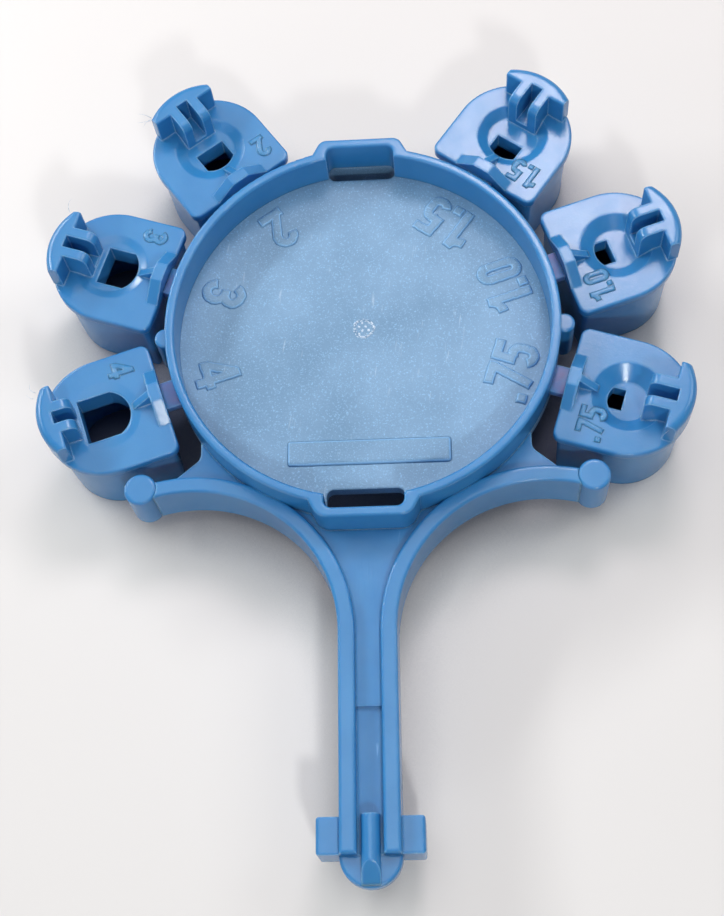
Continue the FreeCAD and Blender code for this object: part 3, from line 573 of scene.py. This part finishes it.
def satin_plastic(settings):
    """Flat web face: duller than the polished faces, with faint drag lines along the handle."""
    material, tree, shader, coordinates = plastic("satin_blue")
    blue, cloud = settings.plastic_colour, settings.cloud_colour
    colour = clouded(tree, coordinates, blue, cloud, scale=240)
    # Pale edges, partly wear and partly a painted highlight.
    colour, rounded = worn_and_highlit(tree, coordinates, colour, settings)
    marks = reckoned(tree, "MULTIPLY", scratches(tree, coordinates, scale=2200, turn=4), 0.3)
    colour = mixed(tree, marks, colour, settings.scuff_and_highlight_colour)
    rough = settings.satin_roughness
    haze = noise(tree, coordinates, scale=520, detail=3)
    roughness = ranged(tree, haze, 0.3, 0.7, rough - 0.05, rough + 0.07)
    drag = noise(tree, stretched(tree, coordinates, (1.0, 0.1, 1.0)), scale=3000, detail=3)
    surfaced(tree, shader, colour, roughness, bumped(tree, drag, DRAG_DEPTH, rounded))
    let_light_in(shader)
    return material


def textured_plastic(settings):
    """Spark-textured floor: clouds, fine pits and scratches, pale grains and specks painted as the
    texture's glints, and a highlight painted on sloped faces, which makes the raised numerals
    stand out."""
    material, tree, shader, coordinates = plastic("spark_blue")
    hazy = tuple(min(1.0, part * 1.15 + 0.03) for part in settings.floor_colour)
    colour = clouded(tree, coordinates, settings.floor_colour, hazy, scale=110)
    # Pale grains, painted glints of the spark texture, which also make the floor glossier there.
    grains = noise(tree, coordinates, scale=5600, roughness=0.6)
    grain_glints = ranged(tree, grains, 0.56, 0.74, 0.0, 0.6)
    colour = mixed(tree, grain_glints, colour, settings.scuff_and_highlight_colour)
    lines = scratches(tree, coordinates, scale=4200, turn=8)
    # The specks are painted glints as well.
    speck_glints = specks(tree, coordinates, scale=520, radius=0.06, share=0.16)
    marks = reckoned(tree, "MULTIPLY", reckoned(tree, "MAXIMUM", lines, speck_glints), 0.2)
    colour = mixed(tree, marks, colour, SCRATCH_AND_GLINT_COLOUR)
    # A painted highlight on the sloped faces, which brightens the sides of the raised marks.
    steep = reckoned(tree, "MULTIPLY", slope_highlight_share(tree), 0.7)
    colour = mixed(tree, steep, colour, settings.scuff_and_highlight_colour)
    rough = settings.textured_roughness
    roughness = ranged(tree, grain_glints, 0.0, 0.6, rough + 0.05, rough - 0.1)
    pits = noise(tree, coordinates, scale=3800, detail=3, roughness=0.7)
    rounded = rounded_normal(tree, settings.edge_radius)
    surfaced(tree, shader, colour, roughness, bumped(tree, pits, PIT_DEPTH, rounded))
    return material


def thin_plastic(settings):
    """Gates: strained plastic, paler and greyer than the rest, with a waxy gloss, and pale edges
    that are a painted highlight.
    """
    material, tree, shader, coordinates = plastic("thin_lilac", THIN_GLOSS_TINT)
    lilac, cloud = settings.gate_colour, settings.cloud_colour
    colour = clouded(tree, coordinates, lilac, cloud, scale=420)
    rounded, edge = edges(tree, settings.edge_radius)
    # Pale edges: a painted highlight.
    colour = mixed(tree, reckoned(tree, "MULTIPLY", edge, 0.4), colour, settings.scuff_and_highlight_colour)
    haze = noise(tree, coordinates, scale=700, detail=3)
    roughness = ranged(tree, haze, 0.3, 0.7, 0.3, 0.5)
    waves = noise(tree, coordinates, scale=1500)
    surfaced(tree, shader, colour, roughness, bumped(tree, waves, WAVE_DEPTH, rounded))
    let_light_in(shader)
    return material


def torn_plastic(settings):
    """The gate scar and the hairs of flash: torn, bleached plastic with paler flecks."""
    material, tree, shader, coordinates = plastic("torn_pale")
    spots = noise(tree, coordinates, scale=4200, detail=3, roughness=0.7)
    flecks = ranged(tree, spots, 0.45, 0.6)
    colour = mixed(tree, flecks, settings.floor_colour, FLECK_COLOUR)
    surfaced(tree, shader, colour, ranged(tree, flecks, 0.0, 1.0, 0.35, 0.6))
    return material


FINISHES = {
    "polished_blue": polished_plastic,
    "satin_blue": satin_plastic,
    "spark_blue": textured_plastic,
    "thin_lilac": thin_plastic,
    "torn_pale": torn_plastic,
}


def finish_named(name):
    """The material of that name, made when it is first asked for."""
    if name not in bpy.data.materials:
        FINISHES[name](bpy.context.scene.rack_finish)
    return bpy.data.materials[name]


def finish_piece(piece, finish, body):
    piece.data.materials.append(finish_named(finish))
    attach(piece, body)


# ---- operators ----


class RACK_OT_finishes(bpy.types.Operator):
    """Give every moulded part its finish"""

    bl_idname = "rack.finishes"
    bl_label = "Finishes"

    def execute(self, context):
        for node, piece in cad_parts.items():
            for slot in piece.material_slots:
                slot.material = finish_named(NODE_FINISHES.get(node, "polished_blue"))
        return {"FINISHED"}


# Numerals on the pan's floor: how far anticlockwise of its nozzle each one's middle lies.
PAN_NUMERAL_SIDEWAYS_MM = {
    "nozzle_4": -1.33,
    "nozzle_3": -0.7,
    "nozzle_2": -0.52,
    "nozzle_1_5": 0.3,
    "nozzle_1_0": 0.43,
    "nozzle_0_75": 0.22,
}
PAN_NUMERAL_FOOT_MM = 18.8
PAN_NUMERAL_EDGE = 0.0003


class RACK_OT_pan_numerals(bpy.types.Operator):
    """Raise each nozzle's numeral on the pan's floor beside it"""

    bl_idname = "rack.pan_numerals"
    bl_label = "Pan Numerals"

    def execute(self, context):
        settings = context.scene.rack_marks
        for node, (text, _, _) in NOZZLES.items():
            sideways = PAN_NUMERAL_SIDEWAYS_MM[node] * MM
            foot = PAN_NUMERAL_FOOT_MM * MM
            piece = numeral(
                f"pan_numeral_{node.removeprefix('nozzle_')}",
                text,
                settings.pan_numeral_height,
                settings.pan_numeral_relief,
                PAN_NUMERAL_EDGE,
                facing_centre(nozzle_angle(node), foot, sideways, FLOOR_LEVEL),
            )
            finish_piece(piece, "spark_blue", "rack")
        return {"FINISHED"}


# Numerals on the nozzles: their foot's distance from the flat side, and their middle's place
# anticlockwise of the nozzle's axis.
FACE_NUMERALS_MM = {
    "nozzle_4": (4.9, -4.6),
    "nozzle_3": (4.5, -4.7),
    "nozzle_2": (4.5, -4.7),
    "nozzle_1_5": (4.4, -3.9),
    "nozzle_1_0": (4.4, -3.9),
    "nozzle_0_75": (4.9, -4.0),
}
FACE_NUMERAL_EDGE = 0.0002


class RACK_OT_face_numerals(bpy.types.Operator):
    """Raise each nozzle's numeral on its own face"""

    bl_idname = "rack.face_numerals"
    bl_label = "Face Numerals"

    def execute(self, context):
        settings = context.scene.rack_marks
        for node, (text, _, _) in NOZZLES.items():
            foot, sideways = FACE_NUMERALS_MM[node]
            foot = (FLAT_SIDE_RADIUS_MM + foot) * MM
            piece = numeral(
                f"face_numeral_{node.removeprefix('nozzle_')}",
                text,
                settings.face_numeral_height,
                settings.face_numeral_relief,
                FACE_NUMERAL_EDGE,
                facing_centre(nozzle_angle(node), foot, sideways * MM, FACE_LEVEL),
            )
            finish_piece(piece, "polished_blue", node)
        return {"FINISHED"}


PLATE_CENTRE_MM = (0.4, -13.55)
PLATE_HALF_MM = (8.5, 1.3)
PLATE_CORNER_MM = 0.25
PLATE_EDGE_MM = 0.42
PLATE_STEP_MM = 0.1


class RACK_OT_bare_plate(bpy.types.Operator):
    """Raise the bare plate low on the pan's floor"""

    bl_idname = "rack.bare_plate"
    bl_label = "Bare Plate"

    def execute(self, context):
        half = np.array(PLATE_HALF_MM) + PLATE_EDGE_MM
        across, up = grid(-half, half, PLATE_STEP_MM)
        # The distance from a rectangle with rounded corners.
        core = np.array(PLATE_HALF_MM) - PLATE_CORNER_MM
        beside, above = np.abs(across) - core[0], np.abs(up) - core[1]
        away = np.hypot(np.maximum(beside, 0), np.maximum(above, 0))
        away += np.minimum(np.maximum(beside, above), 0) - PLATE_CORNER_MM
        piece = raised_mark(
            "bare_plate",
            across * MM,
            up * MM,
            smooth_step(0.5 - away / PLATE_EDGE_MM),
            context.scene.rack_marks.plate_relief,
            on_floor(PLATE_CENTRE_MM),
        )
        finish_piece(piece, "spark_blue", "rack")
        return {"FINISHED"}


SCAR_CENTRE_MM = (0.0, 0.85)
SCAR_RADIUS_MM = 1.05
SCAR_RING_WIDTH_MM = 0.2
SCAR_REACH_MM = 1.5
SCAR_STEP_MM = 0.04
SCAR_LEAST_RISE = 0.02


class RACK_OT_gate_scar(bpy.types.Operator):
    """Leave the round scar of the mould's gate in the middle of the pan's floor"""

    bl_idname = "rack.gate_scar"
    bl_label = "Gate Scar"

    def execute(self, context):
        reach = np.full(2, SCAR_REACH_MM)
        across, up = grid(-reach, reach, SCAR_STEP_MM)
        angle = np.arctan2(up, across)
        # A ring whose radius wavers and whose crest is ragged, round a low uneven middle.
        ring = SCAR_RADIUS_MM + 0.05 * np.sin(3 * angle + 1) + 0.03 * np.sin(8 * angle)
        crest = 0.62 + 0.25 * np.sin(5 * angle + 2) + 0.13 * np.sin(13 * angle)
        off_ring = (np.hypot(across, up) - ring) / SCAR_RING_WIDTH_MM
        inside = smooth_step(-off_ring) * (0.12 + 0.06 * np.sin(9 * across) * np.sin(7 * up))
        rise = smooth_step(1 - np.abs(off_ring)) * crest + inside
        piece = raised_mark(
            "gate_scar",
            across * MM,
            up * MM,
            np.where(rise > SCAR_LEAST_RISE, rise, 0),
            context.scene.rack_marks.gate_scar_relief,
            on_floor(SCAR_CENTRE_MM),
        )
        finish_piece(piece, "torn_pale", "rack")
        return {"FINISHED"}


# Hairs of flash on the pull tabs, from the nozzle's axis on the face: each one's root, tip and
# bow as (outwards, anticlockwise, up).
HAIRS_MM = {
    "nozzle_4": [
        ((5.9, -3.55, 3.0), (6.2, -4.7, 3.2), (0.3, 0.1, 0.1)),
        ((6.3, -3.0, 3.0), (6.9, -3.6, 3.2), (0.0, 0.2, 0.1)),
    ],
    "nozzle_3": [((5.7, -3.6, 3.0), (6.0, -5.2, 3.3), (0.3, 0.0, 0.1))],
    "nozzle_2": [
        ((5.7, 3.6, 2.9), (6.9, 4.6, 3.2), (0.2, 0.0, 0.1)),
        ((5.6, 3.6, 2.6), (6.2, 5.2, 2.9), (0.0, 0.2, 0.1)),
        ((5.7, 3.5, 2.7), (5.7, 4.9, 2.3), (0.2, 0.1, 0.0)),
    ],
    "nozzle_0_75": [((5.2, -3.4, 2.9), (4.6, -3.9, 0.4), (-0.5, -0.5, 0.2))],
}
HAIR_SIDES = 6
HAIR_RINGS = 14
HAIR_TAPER = 0.8


def hair(root, tip, bow, thickness):
    """Points and faces of a closed hair: six-sided rings round the bowed line root +
    (tip - root)·t + bow·4t(1 - t), narrowing to the tip, with a point at either end."""
    share = np.linspace(0, 1, HAIR_RINGS)[:, None]
    line = root + (tip - root) * share + bow * 4 * share * (1 - share)
    along = np.gradient(line, axis=0)
    along /= np.linalg.norm(along, axis=1)[:, None]
    first = np.cross(along, [0.3, 0.2, 1.0])
    first /= np.linalg.norm(first, axis=1)[:, None]
    second = np.cross(along, first)
    angle = np.arange(HAIR_SIDES) * 2 * math.pi / HAIR_SIDES
    radius = thickness / 2 * (1 - HAIR_TAPER * share)
    ring = np.cos(angle)[:, None] * first[:, None] + np.sin(angle)[:, None] * second[:, None]
    rings = line[:, None] + ring * radius[:, None]
    points = np.vstack([rings.reshape(-1, 3), line[:1], line[-1:]])
    here = np.arange((HAIR_RINGS - 1) * HAIR_SIDES)
    beside = here - here % HAIR_SIDES + (here + 1) % HAIR_SIDES
    sides = np.column_stack([here, beside, beside + HAIR_SIDES, here + HAIR_SIDES])
    rim = np.arange(HAIR_SIDES)
    last = rim + (HAIR_RINGS - 1) * HAIR_SIDES
    ends = np.full(HAIR_SIDES, HAIR_RINGS * HAIR_SIDES)
    foot = np.column_stack([ends, np.roll(rim, -1), rim, rim])
    head = np.column_stack([ends + 1, last, np.roll(last, -1), np.roll(last, -1)])
    return points, [list(dict.fromkeys(face)) for face in np.vstack([sides, foot, head]).tolist()]


class RACK_OT_flash_hairs(bpy.types.Operator):
    """Leave the thin hairs of flash on some of the pull tabs"""

    bl_idname = "rack.flash_hairs"
    bl_label = "Flash Hairs"

    def execute(self, context):
        thickness = context.scene.rack_marks.hair_thickness
        for node, hairs in HAIRS_MM.items():
            outwards, tangent = directions(nozzle_angle(node))
            turned = np.array([outwards, tangent, [0, 0, 1]])
            axis = outwards * AXIS_RADIUS_MM * MM + [0, 0, FACE_LEVEL]
            points, faces = [], []
            for root, tip, bow in hairs:
                ends = [np.array(end) * MM @ turned for end in (root, tip, bow)]
                own_points, own_faces = hair(ends[0], ends[1], ends[2], thickness)
                start = sum(len(part) for part in points)
                points.append(own_points + axis)
                faces.extend([[index + start for index in face] for face in own_faces])
            name = f"flash_hairs_{node.removeprefix('nozzle_')}"
            piece = new_piece(name, np.vstack(points), faces)
            finish_piece(piece, "torn_pale", node)
        return {"FINISHED"}


# ---- stage ----

TABLE_HALF = 1.5
TABLE_ROUGHNESS = 0.6
# Shade is painted on the table: it is darkest where no more than the first share of the sky
# above it is open, counting what lies within a reach, and plain where at least the second is.
CORNER_OPENNESS = (0.15, 0.6)
CORNER_REACH = 0.03
CORNER_SAMPLES = 8
PAINTED_SHADE_COLOUR = (0.03, 0.055, 0.14)
# What the table sends on to the object is mixed this far towards a dark grey.
BOUNCE_SHARE = 0.6
BOUNCE_COLOUR = (0.12, 0.12, 0.12)
# The table's glow grows between these distances from the rack's middle.
GLOW_DISTANCES = (0.17, 0.7)
GLOW_STRENGTH = 0.78
GLOW_COLOUR = (1.0, 0.99, 0.98, 1.0)

SKY_COLOUR = (0.93, 0.96, 1.0, 1.0)
SKY_SEEN_STRENGTH = 0.9
SKY_GLOSS_SHARE = 0.2

WHITE = (1.0, 1.0, 1.0)
LILAC = (1.0, 0.88, 0.92)
# The lamps: each one's place, the point it is turned to, its width and length, the setting that
# holds its power and the share of it that it takes, and its colour.
LAMPS = {
    "softbox": ((-0.018, 0.09, 0.308), (-0.018, 0.09, 0), (0.245, 0.345), "softbox", 1, WHITE),
    "key": ((0.26, 0.1, 0.25), (0, -0.01, 0), (0.14, 0.14), "key", 1, WHITE),
    "handle_fill": ((-0.02, -0.01, 0.3), (-0.02, -0.01, 0), (0.2, 0.12), "softbox", 0.13, WHITE),
    "glint": ((0.055, 0.21, 0.3), (0.055, 0.21, 0), (0.12, 0.11), "glint", 1, LILAC),
    "left_strip": ((-0.21, 0.13, 0.15), (0, 0, 0), (0.2, 0.02), "strip", 4, WHITE),
    "front_spot": ((0.063, -0.239, 0.218), (0.02, 0, 0), (0.03, 0.03), "strip", 2.5, WHITE),
    "front_left": ((-0.19, -0.26, 0.09), (0, 0, 0), (0.16, 0.06), "strip", 1.5, WHITE),
}

CAMERA_PLACE = (0.0090, -0.0747, 0.1541)
CAMERA_TURN_DEGREES = (21.54, 3.77, -0.65)
CAMERA_LENS_MM = 61.7
CAMERA_SENSOR_MM = 36.0
CAMERA_NEAREST = 0.01


def area_lamp(name, place, aim, size, power, colour):
    """A rectangular lamp at a place, turned towards its aim."""
    data = bpy.data.lights.new(name, "AREA")
    data.shape = "RECTANGLE"
    data.size, data.size_y = size
    data.energy = power
    data.color = colour
    lamp = bpy.data.objects.new(name, data)
    lamp.location = place
    away = np.array(place) - np.array(aim)
    across = math.hypot(away[0], away[1])
    lamp.rotation_euler = (math.atan2(across, away[2]), 0, math.atan2(away[0], -away[1]))
    bpy.context.scene.collection.objects.link(lamp)


def pale_to_eye(tree, pale, dark, gloss=1.0):
    """A share, or strength, that is pale for what the eye sees straight or in gloss, and dark for
    the light that it sends on to the object. gloss is how far it is pale in gloss."""
    rays = tree.nodes.new("ShaderNodeLightPath")
    mirrored = reckoned(tree, "MULTIPLY", rays.outputs["Is Glossy Ray"], gloss)
    seen = reckoned(tree, "MAXIMUM", rays.outputs["Is Camera Ray"], mirrored)
    seen = reckoned(tree, "MAXIMUM", seen, rays.outputs["Is Transmission Ray"])
    return ranged(tree, seen, 0.0, 1.0, dark, pale)


def table_material(settings):
    """Plain pale table, faintly uneven, with painted shade in deep corners under the rack. Far from
    the lamps it glows, but only to the eye, so that it stays pale up to the horizon."""
    material, tree, shader, coordinates = plastic("pale_table", PLAIN_GLOSS_TINT)
    uneven = ranged(tree, noise(tree, coordinates, scale=9, detail=3), 0.3, 0.7)
    darker = tuple(part * 0.96 for part in settings.table_colour)
    colour = mixed(tree, uneven, darker, settings.table_colour)
    corner = node_of(
        tree, "ShaderNodeAmbientOcclusion", samples=CORNER_SAMPLES, Distance=CORNER_REACH
    )
    # Painted shade: the table's colour darkens towards a dark blue where the rack hides the sky.
    depth = ranged(tree, corner.outputs["AO"], *CORNER_OPENNESS, 0.93, 0.0)
    colour = mixed(tree, depth, colour, PAINTED_SHADE_COLOUR)
    colour = mixed(tree, pale_to_eye(tree, 0.0, BOUNCE_SHARE), colour, BOUNCE_COLOUR)
    tree.links.new(colour, shader.inputs["Base Color"])
    shader.inputs["Roughness"].default_value = TABLE_ROUGHNESS
    distance = node_of(tree, "ShaderNodeVectorMath", operation="LENGTH")
    tree.links.new(coordinates, distance.inputs[0])
    far = ranged(tree, distance.outputs["Value"], *GLOW_DISTANCES, 0.0, GLOW_STRENGTH)
    glow = reckoned(tree, "MULTIPLY", far, pale_to_eye(tree, 1.0, 0.0))
    tree.links.new(glow, shader.inputs["Emission Strength"])
    shader.inputs["Emission Color"].default_value = GLOW_COLOUR
    return material


def soft_sky(settings):
    """A world that is pale to the eye and sends a dim, even light on to the rack."""
    world = bpy.data.worlds.new("soft_sky")
    world.use_nodes = True
    tree = world.node_tree
    sky = tree.nodes["Background"]
    sky.inputs["Color"].default_value = SKY_COLOUR
    strength = pale_to_eye(tree, SKY_SEEN_STRENGTH, settings.sky_strength, SKY_GLOSS_SHARE)
    tree.links.new(strength, sky.inputs["Strength"])
    return world


def placed_camera():
    """A camera where the photograph was taken from."""
    data = bpy.data.cameras.new("camera")
    data.lens = CAMERA_LENS_MM
    data.sensor_width = CAMERA_SENSOR_MM
    data.clip_start = CAMERA_NEAREST
    camera = bpy.data.objects.new("camera", data)
    camera.location = CAMERA_PLACE
    camera.rotation_euler = [math.radians(turn) for turn in CAMERA_TURN_DEGREES]
    bpy.context.scene.collection.objects.link(camera)
    return camera


class RACK_OT_stage(bpy.types.Operator):
    """Set the rack on a pale table under soft light, and place the camera"""

    bl_idname = "rack.stage"
    bl_label = "Stage"

    def execute(self, context):
        scene = context.scene
        settings = scene.rack_stage
        corners = np.array([(-1, -1), (1, -1), (1, 1), (-1, 1)]) * TABLE_HALF
        level = np.full(4, CAD_BOX[0][2])
        table = new_piece("table", np.column_stack([corners, level]), np.array([[0, 1, 2, 3]]))
        table.data.materials.append(table_material(settings))

        for name, (place, aim, size, setting, share, colour) in LAMPS.items():
            power = getattr(settings, f"{setting}_power") * share
            area_lamp(name, place, aim, size, power, colour)

        scene.world = soft_sky(settings)
        scene.camera = placed_camera()
        scene.view_settings.view_transform = "Standard"
        return {"FINISHED"}


# ---- panel and registration ----

OPERATORS = (
    RACK_OT_finishes,
    RACK_OT_pan_numerals,
    RACK_OT_face_numerals,
    RACK_OT_bare_plate,
    RACK_OT_gate_scar,
    RACK_OT_flash_hairs,
    RACK_OT_stage,
)

SETTINGS = {
    "rack_finish": RackFinishSettings,
    "rack_marks": RackMarkSettings,
    "rack_stage": RackStageSettings,
}


class RACK_PT_panel(bpy.types.Panel):
    """Settings and steps of the rack's looks"""

    bl_idname = "RACK_PT_panel"
    bl_label = "Nozzle Rack"
    bl_space_type = "VIEW_3D"
    bl_region_type = "UI"
    bl_category = "Nozzle Rack"

    def draw(self, context):
        for name in SETTINGS:
            settings = getattr(context.scene, name)
            box = self.layout.box()
            for setting in settings.__annotations__:
                box.prop(settings, setting)
        for operator in OPERATORS:
            self.layout.operator(operator.bl_idname)


def register():
    for name, settings in SETTINGS.items():
        bpy.utils.register_class(settings)
        setattr(bpy.types.Scene, name, PointerProperty(type=settings))
    for operator in OPERATORS:
        bpy.utils.register_class(operator)
    bpy.utils.register_class(RACK_PT_panel)


def unregister():
    bpy.utils.unregister_class(RACK_PT_panel)
    for operator in reversed(OPERATORS):
        bpy.utils.unregister_class(operator)
    for name, settings in SETTINGS.items():
        delattr(bpy.types.Scene, name)
        bpy.utils.unregister_class(settings)


def main():
    register()
    bpy.ops.rack.finishes()
    bpy.ops.rack.pan_numerals()
    bpy.ops.rack.face_numerals()
    bpy.ops.rack.bare_plate()
    bpy.ops.rack.gate_scar()
    bpy.ops.rack.flash_hairs()
    bpy.ops.rack.stage()


if __name__ == "__main__":
    main()
